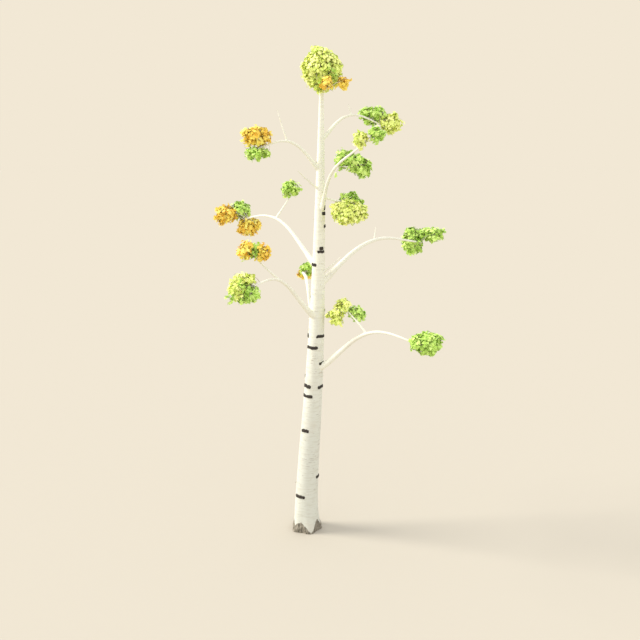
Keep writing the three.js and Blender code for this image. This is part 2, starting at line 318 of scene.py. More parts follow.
# Walks from a limb's tip back to its parent, cut by cut, and on to the parent's middle line.
def readLimb(node, parent, step):
    look = limbReading
    triangles = corners(node)
    points = triangles.reshape(-1, 3)
    gap, parentRadius, _ = distanceToLine(points, parent)
    far = points[(gap - parentRadius).argmax()]
    reach = np.linalg.norm(points - far, axis=1)
    tipReach = max(look["tipReach"], look["tipSpread"] * reach[reach > look["tipEdge"]].min())
    tip = np.unique(points[reach < tipReach].round(5), axis=0)
    low, high = look["inner"]
    inner = points[(reach > low) & (reach < high)]
    if len(inner) == 0:
        inner = points[reach > low]
    direction = inner.mean(0) - tip.mean(0)
    direction /= np.linalg.norm(direction)
    here, radius = crossSection(triangles, tip.mean(0) + look["inset"] * direction, direction)
    found, radii = [here - look["inset"] * direction, here], [radius, radius]
    share, least = look["stopShort"]
    while True:
        middle, radius = crossSection(triangles, here + look["stride"] * direction, direction)
        if middle is None:
            break
        gap, parentRadius, _ = distanceToLine(middle[None], parent)
        if gap[0] - parentRadius[0] < share * radius + least:
            break
        direction = 0.5 * direction + 0.5 * (middle - here) / np.linalg.norm(middle - here)
        direction /= np.linalg.norm(direction)
        here = middle
        found.append(middle)
        radii.append(radius)
    back = look["shortPace"] * direction
    if len(found) > look["lastCuts"]:
        back = found[-1] - found[-look["lastCuts"]]
        back /= np.linalg.norm(back)
    strides = np.arange(look["fineStride"], look["deepest"], look["fineStride"])
    beyond = found[-1] + strides[:, None] * back
    gap, _, _ = distanceToLine(beyond, parent)
    last = gap.argmin()
    found += [beyond[last // 2], beyond[last]]
    radii += [radii[-1], radii[-1]]
    return evenLine(found[::-1], radii[::-1], step, look["rounding"])


trunkBark = {
    "sides": 72, "step": 0.016, "toes": 5, "toeDepth": 0.026, "toeHeight": 0.24,
    "uneven": 0.024, "unevenScale": (3.2, 3.2, 1.4),
    "wrinkle": 0.0016, "wrinkleScale": (6, 6, 34), "fullFrom": 0.03,
}
limbBark = {
    "step": 0.018, "closeStep": 0.005, "sidesPerMetre": 66, "fewestSides": 12,
    "uneven": 0.07, "unevenScale": (9, 9, 6),
    "wrinkle": 0.0009, "wrinkleScale": (16, 16, 52), "fullFrom": 0.03,
    "fillet": 0.85, "filletLeast": 0.4, "inside": 0.5, "sunken": 0.6, "closeUntil": 1.2,
    "bareTaper": 0.3, "tipRings": ((0.25, 0.93), (0.5, 0.75), (0.65, 0.45)), "patternShift": 3.1,
}


def unevenness(look, place, radius):
    slow = noise.noise(Vector(p * s for p, s in zip(place, look["unevenScale"])))
    quick = noise.noise(Vector(p * s for p, s in zip(place, look["wrinkleScale"])))
    return look["uneven"] * radius * slow + look["wrinkle"] * min(1, radius / look["fullFrom"]) * quick


# Extrudes a ring of edges and gives back the new ring's vertices and edges.
def nextRing(bm, edges):
    made = bmesh.ops.extrude_edge_only(bm, edges=edges)["geom"]
    ring = {item for item in made if isinstance(item, bmesh.types.BMVert)}
    return list(ring), [item for item in made
                        if isinstance(item, bmesh.types.BMEdge) and ring.issuperset(item.verts)]


# A stem is extruded ring by ring. Each vertex keeps its turn round the stem, the stem's radius and
# its place on the stem as if that stood straight, which the bark's pattern reads.
def growStem(sections, sides, shape, offset=(0, 0, 0)):
    bm = bmesh.new()
    turnLayer = bm.verts.layers.float.new("turn")
    girthLayer = bm.verts.layers.float.new("girth")
    placeLayer = bm.verts.layers.float_vector.new("stemPlace")
    bmesh.ops.create_circle(bm, cap_ends=False, radius=1, segments=sides)
    ring, edges = list(bm.verts), list(bm.edges)
    firstEdges = edges
    for vert in ring:
        vert[turnLayer] = math.atan2(vert.co.y, vert.co.x)
    for number, section in enumerate(sections):
        if number:
            ring, edges = nextRing(bm, edges)
        middle, across, upward, radius, along = section
        for vert in ring:
            turn = vert[turnLayer]
            outward = math.cos(turn) * across + math.sin(turn) * upward
            place = Vector((radius * math.cos(turn), radius * math.sin(turn), along)) + Vector(offset)
            vert[placeLayer] = place
            vert[girthLayer] = radius
            vert.co = shape(turn, place, radius, middle, outward)
    bmesh.ops.holes_fill(bm, edges=firstEdges + edges)
    return bm


def trunkSurface(turn, place, radius, middle, outward, proud=0.0):
    look = trunkBark
    ridge = look["toeDepth"] * math.exp(-place.z / look["toeHeight"]) * math.cos(look["toes"] * turn)
    return middle + outward * (radius + ridge + unevenness(look, place, radius) + proud)


lines = {"trunk": readTrunk(trunkBark["step"])}
trunkLine = lines["trunk"]
limbNames = [name for name in nodes if name != "trunk" and not name.startswith("leaves_")]
limbNames.sort(key=lambda name: (name.endswith(("_fork", "_twig")), name))
masses = sorted(name for name in nodes if name.startswith("leaves_"))
limbOfPlace = {name.removesuffix("_bough"): name for name in limbNames}


def limbOf(mass):
    place = mass.removeprefix("leaves_")
    fitting = [key for key in limbOfPlace if place.startswith(key + "_")]
    return limbOfPlace[max(fitting, key=len)] if fitting else "trunk"


leafyLimbs = {limbOf(mass) for mass in masses}
bareLimbs = [name for name in limbNames if name not in leafyLimbs]
for name in limbNames:
    place = name.rsplit("_", 1)[0]
    parent = place + "_bough" if name.endswith(("_fork", "_twig")) else "trunk"
    lines[name] = readLimb(name, lines[parent], limbBark["step"])
    lines[name]["parent"] = parent
print("middle lines:", len(lines))


def makeTrunk():
    sections = [(Vector(point), Vector((1, 0, 0)), Vector((0, 1, 0)), radius, point[2])
                for point, radius in zip(trunkLine["points"], trunkLine["radii"].tolist())]
    bm = growStem(sections, trunkBark["sides"], trunkSurface)
    return finish("trunk_bark", meshFrom("trunk_bark", bm), ["white_bark"], ["trunk"])


def wayAt(line, index):
    low, high = max(index - 2, 0), min(index + 2, len(line["points"]) - 1)
    way = Vector(line["points"][high] - line["points"][low])
    return way.normalized()


# A limb spreads out along its parent's surface, in a fillet that bends round with it, and its
# sections stand closest together there. The fillet is smaller where the limb lies close along its
# parent. Inside its parent a limb is thinner, so that it comes out at one place, and a limb without
# leaves thins out to a fine tip.
def makeLimb(number, name):
    look = limbBark
    line = lines[name]
    parent = lines[line["parent"]]
    gap, parentRadius, nearest = distanceToLine(line["points"], parent)
    first = int(np.argmax(gap > look["inside"] * parentRadius))
    foot = float(line["radii"][first])
    surface = int(np.argmax(gap > parentRadius))
    slant = wayAt(line, surface).cross(wayAt(parent, nearest[surface])).length
    fillet = look["fillet"] * foot * (look["filletLeast"] + (1 - look["filletLeast"]) * slant)
    clear = int(np.argmax(gap - parentRadius > look["closeUntil"] * foot + fillet))
    begin, near, far = line["along"][[first, clear, -1]]
    at = np.array([*np.arange(begin, near, look["closeStep"]), *np.arange(near, far, look["step"]), far])
    points, tangents = [np.column_stack([np.interp(at, line["along"], values[:, k]) for k in range(3)])
                        for values in (line["points"], np.gradient(line["points"], axis=0))]
    radii = np.interp(at, line["along"], line["radii"])
    depth = np.interp(at, line["along"], parentRadius - gap)
    radii *= np.clip(1 - look["sunken"] * depth / foot, 1 - look["sunken"], 1)
    if name in bareLimbs:
        radii *= 1 - look["bareTaper"] * (at / far) ** 2
    across = Vector(tangents[0]).cross(Vector((0, 0, 1))).normalized()
    sections = []
    for point, tangent, radius, along in zip(points, tangents, radii.tolist(), at.tolist()):
        tangent = Vector(tangent).normalized()
        across = (across - across.dot(tangent) * tangent).normalized()
        sections.append((Vector(point), across, tangent.cross(across), radius, along))
    tip, across, upward, radius, far = sections[-1]
    onward = across.cross(upward)
    for beyond, share in look["tipRings"]:
        sections.append((tip + beyond * radius * onward, across, upward, share * radius,
                         far + beyond * radius))

    def limbSurface(turn, place, radius, middle, outward):
        plain = middle + outward * (radius + unevenness(look, place, radius))
        if place.z > near:
            return plain
        gap, parentRadius, nearest = distanceToLine(np.array([plain]), parent)
        share = min(1, max(0, (gap[0] - parentRadius[0]) / fillet))
        center, way = Vector(parent["points"][nearest[0]]), wayAt(parent, nearest[0])
        offset = plain - center
        away = offset.normalized()
        along = outward - outward.dot(away) * away
        flare = fillet * (1 - math.sqrt(1 - (1 - share) ** 2))
        spread = plain + flare * along - center
        onward = spread.dot(way) * way
        distance = (offset - offset.dot(way) * way).length
        return center + onward + (spread - onward).normalized() * distance

    sides = max(look["fewestSides"], round(look["sidesPerMetre"] * 2 * math.pi * foot))
    bm = growStem(sections, sides, limbSurface, (number * look["patternShift"], 0, 0))
    return finish(name + "_bark", meshFrom(name, bm), ["white_bark"], [name])


makeTrunk()
for number, name in enumerate(limbNames):
    makeLimb(number + 1, name)
print("bark: trunk and", len(limbNames), "limbs")


def trunkAt(height):
    index = np.interp(height, trunkLine["points"][:, 2], np.arange(len(trunkLine["points"])))
    low = min(int(index), len(trunkLine["points"]) - 2)
    middle = Vector(trunkLine["points"][low]).lerp(Vector(trunkLine["points"][low + 1]), index - low)
    return middle, float(np.interp(height, trunkLine["points"][:, 2], trunkLine["radii"]))


def onTrunk(turn, height, proud=0.0):
    middle, radius = trunkAt(height)
    place = Vector((radius * math.cos(turn), radius * math.sin(turn), height))
    outward = Vector((math.cos(turn), math.sin(turn), 0))
    return trunkSurface(turn, place, radius, middle, outward, proud)


# Black scars: height, heading of the middle, half the angle each spans, and height of the band.
scars = {
    "bands": [
        (0.728, -130, 32, 0.060), (1.108, -16, 24, 0.056), (2.060, -129, 28, 0.060),
        (2.740, -137, 45, 0.056), (2.928, -145, 39, 0.064), (2.915, -34, 30, 0.058),
        (3.373, -32, 30, 0.058), (3.679, -122, 50, 0.056), (3.897, -52, 40, 0.054),
        (3.893, -181, 26, 0.074), (5.228, -154, 46, 0.054), (5.472, -68, 40, 0.046),
        (5.532, -66, 22, 0.056), (6.262, -32, 22, 0.084), (6.154, -36, 30, 0.060),
        (5.927, -6, 34, 0.056), (6.426, -24, 30, 0.044),
        (0.93, 62, 34, 0.062), (1.62, 128, 26, 0.054), (1.98, 38, 22, 0.048),
        (2.36, 92, 40, 0.060), (3.10, 150, 30, 0.056), (3.52, 76, 44, 0.058),
        (4.36, 34, 34, 0.052), (4.62, 132, 40, 0.056), (5.02, 70, 30, 0.050),
        (5.70, 112, 44, 0.050), (6.05, 96, 26, 0.040), (6.75, 60, 36, 0.040),
        (7.05, 140, 34, 0.036),
    ],
    "cells": (34, 10), "proud": 0.013, "sunk": 0.006, "tall": 1.12, "back": 0.004,
    "ragged": 0.34, "raggedScales": (2.6, 8), "raggedFine": 0.6, "endPower": 9, "endRoundness": 0.45,
    "edgePowers": (12, 8), "rough": 0.0035, "lumps": (7, 4.5), "pits": (2.2, 6), "pitShare": 0.6,
    "wave": 0.2, "waveScale": 1.6, "skew": 0.08, "noiseSteps": (2.9, 7.3, 4.1, 5.1, 9.7),
}


# A point of a scar, with u round the trunk and v up it, both from -1 to 1. Each scar reads its own
# part of the noise, and so do its upper and its lower edge.
def scarPoint(number, u, v):
    look = scars
    height, heading, halfAngle, band = look["bands"][number]
    own = [step * number for step in look["noiseSteps"]]
    side = 6 if v > 0 else 0
    coarse, fine = [noise.noise(Vector((scale * u, own[0], side))) for scale in look["raggedScales"]]
    outline = (1 - abs(u) ** look["endPower"]) ** look["endRoundness"]
    outline *= 1 + look["ragged"] * (coarse + look["raggedFine"] * fine)
    endEdge, longEdge = look["edgePowers"]
    edge = max(abs(u) ** endEdge, abs(v) ** longEdge)
    lumps, pits = [noise.noise(Vector((around * u, up * v, place)))
                   for (around, up), place in zip((look["lumps"], look["pits"]), own[1:3])]
    rough = lumps - look["pitShare"] * abs(pits)
    lift = (look["proud"] + look["rough"] * rough) * (1 - edge) - look["sunk"] * edge
    shift = look["wave"] * band * noise.noise(Vector((look["waveScale"] * u, own[3], 3)))
    skew = look["skew"] * noise.noise(Vector((v, u, own[4])))
    turn = math.radians(heading + halfAngle * (u + skew))
    return onTrunk(turn, height + shift + 0.5 * look["tall"] * band * v * outline, lift)


def makeScars():
    look = scars
    bm = bmesh.new()
    across, tall = look["cells"]
    for number, scar in enumerate(look["bands"]):
        made = bmesh.ops.create_grid(bm, x_segments=across, y_segments=tall, size=1)["verts"]
        for vert in made:
            vert.co = scarPoint(number, vert.co.x, vert.co.y)
        made = set(made)
        rim = [edge for edge in bm.edges if edge.is_boundary and edge.verts[0] in made]
        middle = trunkAt(scar[0])[0]
        back, backRim = nextRing(bm, rim)
        for vert in back:
            inward = Vector((middle.x - vert.co.x, middle.y - vert.co.y, 0)).normalized()
            vert.co += look["back"] * inward
        bmesh.ops.holes_fill(bm, edges=backRim)
    return finish("bark_scars", meshFrom("bark_scars", bm), ["black_bark"])


# Rough bark round the foot: its ragged top edge, as heading and height of each peak and notch.
footBark = {
    "edge": [(-170, 0.26), (-140, 0.17), (-115, 0.25), (-88, 0.11), (-68, 0.015), (-52, 0.11),
             (-30, 0.27), (-4, 0.13), (20, 0.24), (47, 0.08), (70, 0.29), (96, 0.10), (122, 0.23),
             (156, 0.12)],
    "sides": 170, "rings": 26, "innerRings": (0.6, 0), "proud": 0.017, "sunk": 0.012, "edgePower": 5,
    "crack": 0.013, "crackSharpness": 3.2, "plates": (3.75, 6.5), "rough": 0.004,
    "roughScale": (26, 34), "ragged": 0.03, "raggedScale": 7, "lowest": 0.012,
}


def footHeight(turn):
    look = footBark
    stops, scale = look["edge"], look["raggedScale"]
    first = stops[0][0]
    heading = (math.degrees(turn) - first) % 360 + first
    known = [stop[0] for stop in stops] + [first + 360]
    tops = [stop[1] for stop in stops] + [stops[0][1]]
    ragged = look["ragged"] * noise.noise(Vector((scale * math.cos(turn), scale * math.sin(turn), 1.5)))
    return max(look["lowest"], float(np.interp(heading, known, tops)) + ragged)


# How proud of the trunk the foot bark stands: plates with cracks between, let in at the top edge.
def footLift(turn, height, share):
    look = footBark
    edge = share ** look["edgePower"]
    around, up = look["plates"]
    cracks = noise.voronoi(Vector((around * math.cos(turn), around * math.sin(turn), up * height)))[0]
    crack = min(1, look["crackSharpness"] * (cracks[1] - cracks[0]))
    around, up = look["roughScale"]
    rough = look["rough"] * noise.noise(
        Vector((around * math.cos(turn), around * math.sin(turn), up * height)))
    return (look["proud"] - look["crack"] * (1 - crack) + rough) * (1 - edge) - look["sunk"] * edge


def makeFootBark():
    look = footBark
    bm = bmesh.new()
    turnLayer = bm.verts.layers.float.new("turn")
    bmesh.ops.create_circle(bm, cap_ends=False, radius=1, segments=look["sides"])
    ring, edges = list(bm.verts), list(bm.edges)
    for vert in ring:
        vert[turnLayer] = math.atan2(vert.co.y, vert.co.x)
    firstEdges = edges
    steps = [(step / look["rings"], True) for step in range(look["rings"] + 1)]
    steps += [(share, False) for share in look["innerRings"]]
    for number, (share, outer) in enumerate(steps):
        if number:
            ring, edges = nextRing(bm, edges)
        for vert in ring:
            turn = vert[turnLayer]
            height = share * footHeight(turn)
            lift = footLift(turn, height, share) if outer else -look["sunk"]
            vert.co = onTrunk(turn, height, lift)
    bmesh.ops.bridge_loops(bm, edges=edges + firstEdges)
    return finish("foot_bark", meshFrom("foot_bark", bm), ["foot_bark"])


# Papery strips that peel off sideways and roll outwards, white outside and tan inside.
curls = {
    "count": 44, "seed": 7, "heights": (0.45, 6.6), "width": (0.045, 0.13), "tall": (0.007, 0.022),
    "roll": (0.5, 2.0), "tightening": 3, "thickness": 0.0009, "cells": (14, 3), "rooted": 0.003,
    "offBark": 0.0008, "narrowing": 0.75, "ragged": 0.4, "raggedScale": 0.5, "noiseStep": 3,
}


def makeCurls():
    look = curls
    chance = random.Random(look["seed"])
    bm = bmesh.new()
    placeLayer = bm.verts.layers.float_vector.new("stemPlace")
    girthLayer = bm.verts.layers.float.new("girth")
    across, tall = look["cells"]
    for number in range(look["count"]):
        height = chance.uniform(*look["heights"])
        heading = chance.uniform(0, 2 * math.pi)
        width, band = chance.uniform(*look["width"]), chance.uniform(*look["tall"])
        roll, side = chance.uniform(*look["roll"]), chance.choice((-1, 1))
        radius = trunkAt(height)[1]
        path = [(0, 0)]
        for step in range(across):
            angle = roll * ((step + 0.5) / across) ** look["tightening"]
            path.append((path[-1][0] + width / across * math.cos(angle),
                         path[-1][1] + width / across * math.sin(angle)))
        made = bmesh.ops.create_grid(bm, x_segments=across, y_segments=tall, size=1)["verts"]
        for vert in made:
            column = round((vert.co.x + 1) / 2 * across)
            v = side * vert.co.y
            sideways, outwards = path[column]
            wide = 1 - look["narrowing"] * (column / across) ** 2
            wide += look["ragged"] * noise.noise(
                Vector((look["raggedScale"] * column, look["noiseStep"] * number, v)))
            vert.co = onTrunk(heading + side * sideways / radius, height + 0.5 * band * v * wide,
                              outwards + (look["offBark"] if column else -look["rooted"]))
        faces = {face for vert in made for face in vert.link_faces}
        inner = bmesh.ops.solidify(bm, geom=list(faces), thickness=look["thickness"])["geom"]
        for face in inner:
            if isinstance(face, bmesh.types.BMFace):
                face.material_index = 1
    for vert in bm.verts:
        middle, radius = trunkAt(vert.co.z)
        vert[placeLayer] = Vector((vert.co.x - middle.x, vert.co.y - middle.y, vert.co.z))
        vert[girthLayer] = radius
    return finish("bark_curls", meshFrom("bark_curls", bm), ["white_bark", "paper_curl"])


makeScars()
makeFootBark()
makeCurls()
print("scars, foot bark and curls")


# Sites stand closer together within core of a mass's skin; deeper in, only inCore of them are kept.
twigLook = {
    "step": 0.028, "reach": 0.034, "wander": 0.22, "onward": 0.35, "seed": 41,
    "spacing": (0.050, 0.060), "massSizes": (0.25, 0.6), "rim": 0.016, "lift": 0.022,
    "tries": 90000, "core": 0.13, "inCore": 0.3,
    "rootShare": 0.80, "trunkRoot": 0.30, "rootWidth": 0.85, "tipRadius": 0.0015, "tipTaper": 0.6,
    "swell": 0.44, "paleFrom": 0.0045, "sides": 2, "longest": 140,
}
twigChance = random.Random(twigLook["seed"])


def solidOf(node):
    mesh = nodes[node].data
    return BVHTree.FromPolygons([vertex.co for vertex in mesh.vertices],
                                [polygon.vertices for polygon in mesh.polygons])


# Places for sprays inside a mass, evenly spread, closest together near its skin and in small masses,
# and lifted a little because leaves hang.
def spraySites(node, solid):
    look = twigLook
    low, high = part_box(node)
    size = high - low
    tries = int(look["tries"] * size.x * size.y * size.z)
    spacing = float(np.interp(sum(size) / 3, look["massSizes"], look["spacing"]))
    lift = Vector((0, 0, look["lift"]))
    sites = []
    for _ in range(tries):
        point = Vector(low[k] + size[k] * twigChance.random() for k in range(3))
        near, normal, _, distance = solid.find_nearest(point)
        if (near - point).dot(normal) < 0 or distance < look["rim"]:
            continue
        if distance > look["core"] and twigChance.random() > look["inCore"]:
            continue
        point += lift
        if all((point - other[0]).length > spacing for other in sites):
            sites.append((point, normal.copy(), (point - (low + high) / 2).normalized()))
    return sites


# Twigs grow step by step towards the sites that are nearest to them, until each has been reached.
def growTwigs(roots, sites):
    look = twigLook
    points, parents = [Vector(root) for root in roots], [-1] * len(roots)
    goals = np.array([site[0] for site in sites])
    reachedBy = [None] * len(sites)
    waiting = list(range(len(sites)))
    for _ in range(look["longest"]):
        if not waiting:
            break
        gaps = np.linalg.norm(goals[waiting][:, None] - np.array(points)[None], axis=2)
        nearest, gap = gaps.argmin(1), gaps.min(1)
        pulls = {}
        still = []
        for k, site in enumerate(waiting):
            if gap[k] < look["reach"]:
                reachedBy[site] = int(nearest[k])
                continue
            still.append(site)
            pull = (sites[site][0] - points[nearest[k]]).normalized()
            pulls[int(nearest[k])] = pulls.get(int(nearest[k]), Vector()) + pull
        waiting = still
        for node, pull in pulls.items():
            onward = Vector()
            if parents[node] >= 0:
                onward = (points[node] - points[parents[node]]).normalized() * look["onward"]
            wander = Vector(twigChance.gauss(0, look["wander"]) for _ in range(3))
            heading = (pull.normalized() + onward + wander).normalized()
            points.append(points[node] + look["step"] * heading)
            parents.append(node)
    for site in waiting:
        gaps = [(sites[site][0] - point).length for point in points]
        points.append(sites[site][0])
        parents.append(int(np.argmin(gaps)))
        reachedBy[site] = len(points) - 1
    return points, parents, reachedBy


def addSpline(curve, points, radii):
    spline = curve.splines.new("POLY")
    spline.points.add(len(points) - 1)
    for vertex, point, radius in zip(spline.points, points, radii):
        vertex.co = (*point, 1)
        vertex.radius = radius


def newCurve(name, resolution):
    curve = bpy.data.curves.new(name, "CURVE")
    curve.dimensions = "3D"
    curve.bevel_depth = 1
    curve.bevel_resolution = resolution
    curve.use_fill_caps = True
    return curve


def curveMesh(name, curve):
    holder = bpy.data.objects.new(name, curve)
    bpy.context.scene.collection.objects.link(holder)
    bpy.context.view_layer.update()
    mesh = bpy.data.meshes.new_from_object(holder)
    bpy.data.objects.remove(holder)
    return mesh


# Splits a grown tree into runs. The child that carries most goes on, and each other starts a run.
def addRuns(points, parents, reachedBy, largest, curves):
    look = twigLook
    load = [0] * len(points)
    for node in reachedBy:
        load[node] += 1
    children = [[] for _ in points]
    for node in range(len(points) - 1, -1, -1):
        if parents[node] >= 0:
            load[parents[node]] += load[node]
            children[parents[node]].append(node)
    radius = [min(largest, look["tipRadius"] * max(1, n) ** look["swell"]) for n in load]
    for start in range(len(points)):
        for child in children[start]:
            heaviest = max(children[start], key=lambda node: load[node])
            if (child == heaviest and parents[start] >= 0) or not load[child]:
                continue
            run = [start, child]
            while children[run[-1]]:
                onward = max(children[run[-1]], key=lambda node: load[node])
                if not load[onward]:
                    break
                run.append(onward)
            widths = [radius[child]] + [radius[node] for node in run[1:]]
            widths[-1] *= look["tipTaper"]
            kind = "pale" if widths[0] > look["paleFrom"] else "fine"
            addSpline(curves[kind], [points[node] for node in run], widths)


# Shares of a leaf's own length, but for length, overhang, clear, clearFrom and spill, in metres, and
# open, in degrees.
leafLook = {
    "outline": [(0.17, 0.015), (0.31, 0.10), (0.375, 0.24), (0.335, 0.34), (0.335, 0.40),
                (0.245, 0.52), (0.235, 0.59), (0.13, 0.74), (0.05, 0.88)],
    "rib": [0.0, 0.30, 0.62, 1.0], "fold": 0.20, "droop": 0.22, "stalk": 0.26, "stalkWidth": 0.018,
    "stalkRise": 0.06, "length": (0.054, 0.080), "seed": 90, "open": (48, 78), "lastOpen": 0.25,
    "hang": 0.45, "wander": 0.25, "tilt": 0.28, "first": 0.6, "overhang": (-0.012, 0.014),
    "tries": 8, "reach": 1.25, "clear": 0.024, "clearAt": 0.6, "clearFrom": 0.4, "spill": 0.045,
    "roughness": 0.5,
}
sprayLook = {
    "leaves": (6, 9), "length": (0.055, 0.09), "outward": 0.35, "onward": 0.6, "wander": 0.45,
    "faceOut": 0.8, "faceUp": 0.55, "faceWander": 0.25, "sag": 0.35,
    "shares": (0, 0.35, 0.7, 1), "radii": [0.0014, 0.0012, 0.001, 0.0007],
}
leafTints = {
    "lime": {"pale": (0.97, 1.0, 0.34), "mid": (0.86, 0.94, 0.24), "deep": (0.72, 0.84, 0.17)},
    "green": {"pale": (0.70, 0.90, 0.23), "mid": (0.57, 0.80, 0.15), "deep": (0.46, 0.69, 0.11)},
    "amber": {"pale": (1.0, 0.86, 0.18), "mid": (0.99, 0.75, 0.11), "deep": (0.95, 0.62, 0.07)},
}
shadeShares = (("pale", 0.34), ("mid", 0.42))  # the rest are deep
shadeDrift = {"share": 0.5, "scale": 6}  # neighbours tend to share a shade
leafChance = random.Random(leafLook["seed"])


# One leaf along +Y with its face to +Z: a toothed outline folded along the rib, and its stalk.
def leafTemplate():
    look = leafLook
    bm = bmesh.new()
    ribs = [bm.verts.new((0, y, 0)) for y in look["rib"]]
    for side in (-1, 1):
        rim = [bm.verts.new((side * x, y, 0)) for x, y in look["outline"]]
        border = [ribs[0], *rim, ribs[-1]]
        edges = [bm.edges.new(pair) for pair in zip(border, border[1:])]
        for pair in zip(ribs, ribs[1:]):
            edges.append(bm.edges.get(pair) or bm.edges.new(pair))
        bmesh.ops.triangle_fill(bm, use_beauty=True, use_dissolve=False, edges=edges)
    for vert in bm.verts:
        x, y = vert.co.x, vert.co.y
        vert.co.z = look["fold"] * abs(x) - look["droop"] * y * y
        vert.co.y += look["stalk"]
    half = look["stalkWidth"]
    stalk = [bm.verts.new(co) for co in ((-half, 0, look["stalkRise"]), (half, 0, look["stalkRise"]),
                                         (half, look["stalk"], 0), (-half, look["stalk"], 0))]
    bm.faces.new(stalk)
    bmesh.ops.triangulate(bm, faces=bm.faces[:])
    bm.normal_update()
    for face in bm.faces:
        if face.normal.z < 0:
            face.normal_flip()
    bm.verts.index_update()
    points = np.array([vert.co for vert in bm.verts])
    faces = np.array([[vert.index for vert in face.verts] for face in bm.faces])
    bm.free()
    return points, faces


leafPoints, leafFaces = leafTemplate()


# How far a point lies inside a mass's skin, less than nothing outside it.
def depthIn(solid, point):
    near, normal, _, distance = solid.find_nearest(point)
    return math.copysign(distance, (near - point).dot(normal))


# Draws a way to grow until its far end is deep enough inside the mass and what grows is clear of the
# limb, or the best of the tries, which is nothing where it spills out too far.
def wayInside(draw, solid, limb, start, length, deepEnough):
    look = leafLook
    best, room = None, None
    for _ in range(look["tries"]):
        way = draw()
        found = depthIn(solid, start + length * way) - deepEnough
        if limb:
            gap, radius, _ = distanceToLine(np.array([start + look["clearAt"] * length * way]), limb)
            found = min(found, float(gap[0] - radius[0]) - look["clear"])
        if best is None or found > room:
            best, room = way, found
        if found > 0:
            break
    return best if room > -look["spill"] else None


def leafJitter(spread):
    return Vector(leafChance.gauss(0, spread) for _ in range(3))


# Leaves stand to both sides of a short shoot, and the last goes on from its end.
def addSpray(site, normal, outward, twigHeading, solid, limb, leaves, curve):
    look, spray = leafLook, sprayLook
    length = leafChance.uniform(*spray["length"])
    onward = spray["outward"] * normal + spray["outward"] * outward + spray["onward"] * twigHeading

    def drawShoot():
        return (onward + leafJitter(spray["wander"])).normalized()

    heading = wayInside(drawShoot, solid, limb, site, length, 0)
    face = spray["faceOut"] * normal + Vector((0, 0, spray["faceUp"])) + leafJitter(spray["faceWander"])
    if heading is None:
        return
    side = heading.cross(face).normalized()
    count = leafChance.randint(*spray["leaves"])
    line = [site + heading * length * share + Vector((0, 0, -spray["sag"] * length * share * share))
            for share in spray["shares"]]
    addSpline(curve, line, spray["radii"])
    for number in range(count):
        start = line[0].lerp(line[-1], (number + look["first"]) / count)
        size = leafChance.uniform(*look["length"])
        last = number == count - 1

        def drawLeaf():
            swing = math.radians(leafChance.uniform(*look["open"])) * (look["lastOpen"] if last else 1)
            sideways = leafChance.choice((-1, 1)) * math.sin(swing) * side
            hang = Vector((0, 0, -look["hang"] * leafChance.random()))
            way = heading * math.cos(swing) + sideways + hang + leafJitter(look["wander"])
            return way.normalized()

        overhang = leafChance.uniform(*look["overhang"])
        along = wayInside(drawLeaf, solid, limb, start, look["reach"] * size, -overhang)
        if along is None:
            continue
        top = face.normalized() + leafJitter(look["tilt"])
        across = along.cross(top).normalized()
        leaves.append((start, across, along, across.cross(along), size))


def drawShade(site):
    drawn = leafChance.random() + shadeDrift["share"] * noise.noise(site * shadeDrift["scale"])
    for shade, share in shadeShares:
        drawn -= share
        if drawn < 0:
            return shade
    return "deep"


def leafMesh(name, leaves):
    starts = np.array([leaf[0] for leaf in leaves])
    frames = np.array([[leaf[1], leaf[2], leaf[3]] for leaf in leaves])
    sizes = np.array([leaf[4] for leaf in leaves])
    points = np.einsum("pk,nkc->npc", leafPoints, frames) * sizes[:, None, None] + starts[:, None]
    faces = leafFaces[None] + (np.arange(len(leaves)) * len(leafPoints))[:, None, None]
    mesh = bpy.data.meshes.new(name)
    mesh.from_pydata(points.reshape(-1, 3), [], faces.reshape(-1, 3))
    return mesh


# Short side shoots with a bud at the end, along the last part of each limb that has no leaves.
shoots = {
    "from": 0.35, "apart": (0.08, 0.14), "length": (0.03, 0.08), "sideways": 0.8, "upward": 0.8,
    "shortening": (1.2, 0.6), "bend": 0.3, "shares": (0, 0.5, 0.86, 0.92, 1),
    "radius": 0.0016, "widths": (1, 0.8, 0.7), "bud": 0.0021, "budTip": 0.2,
}


def addShoots(line, curve):
    look = shoots
    far = float(line["along"][-1])
    along, side = far * look["from"], 1
    while along < far:
        index = int(np.searchsorted(line["along"], along))
        start = Vector(line["points"][index])
        onward = (start - Vector(line["points"][index - 1])).normalized()
        sideways = onward.cross(Vector((0, 0, 1))).normalized() * side
        upward = onward.cross(sideways) * twigChance.uniform(-look["upward"], look["upward"])
        heading = (onward + look["sideways"] * sideways + upward).normalized()
        longest, shortening = look["shortening"]
        length = twigChance.uniform(*look["length"]) * (longest - shortening * along / far)
        points = [start + length * (share * heading + look["bend"] * share * share * onward)
                  for share in look["shares"]]
        thin = look["radius"]
        addSpline(curve, points, [*(width * thin for width in look["widths"]), look["bud"],
                                  look["budTip"] * thin])
        along += twigChance.uniform(*look["apart"])
        side = -side


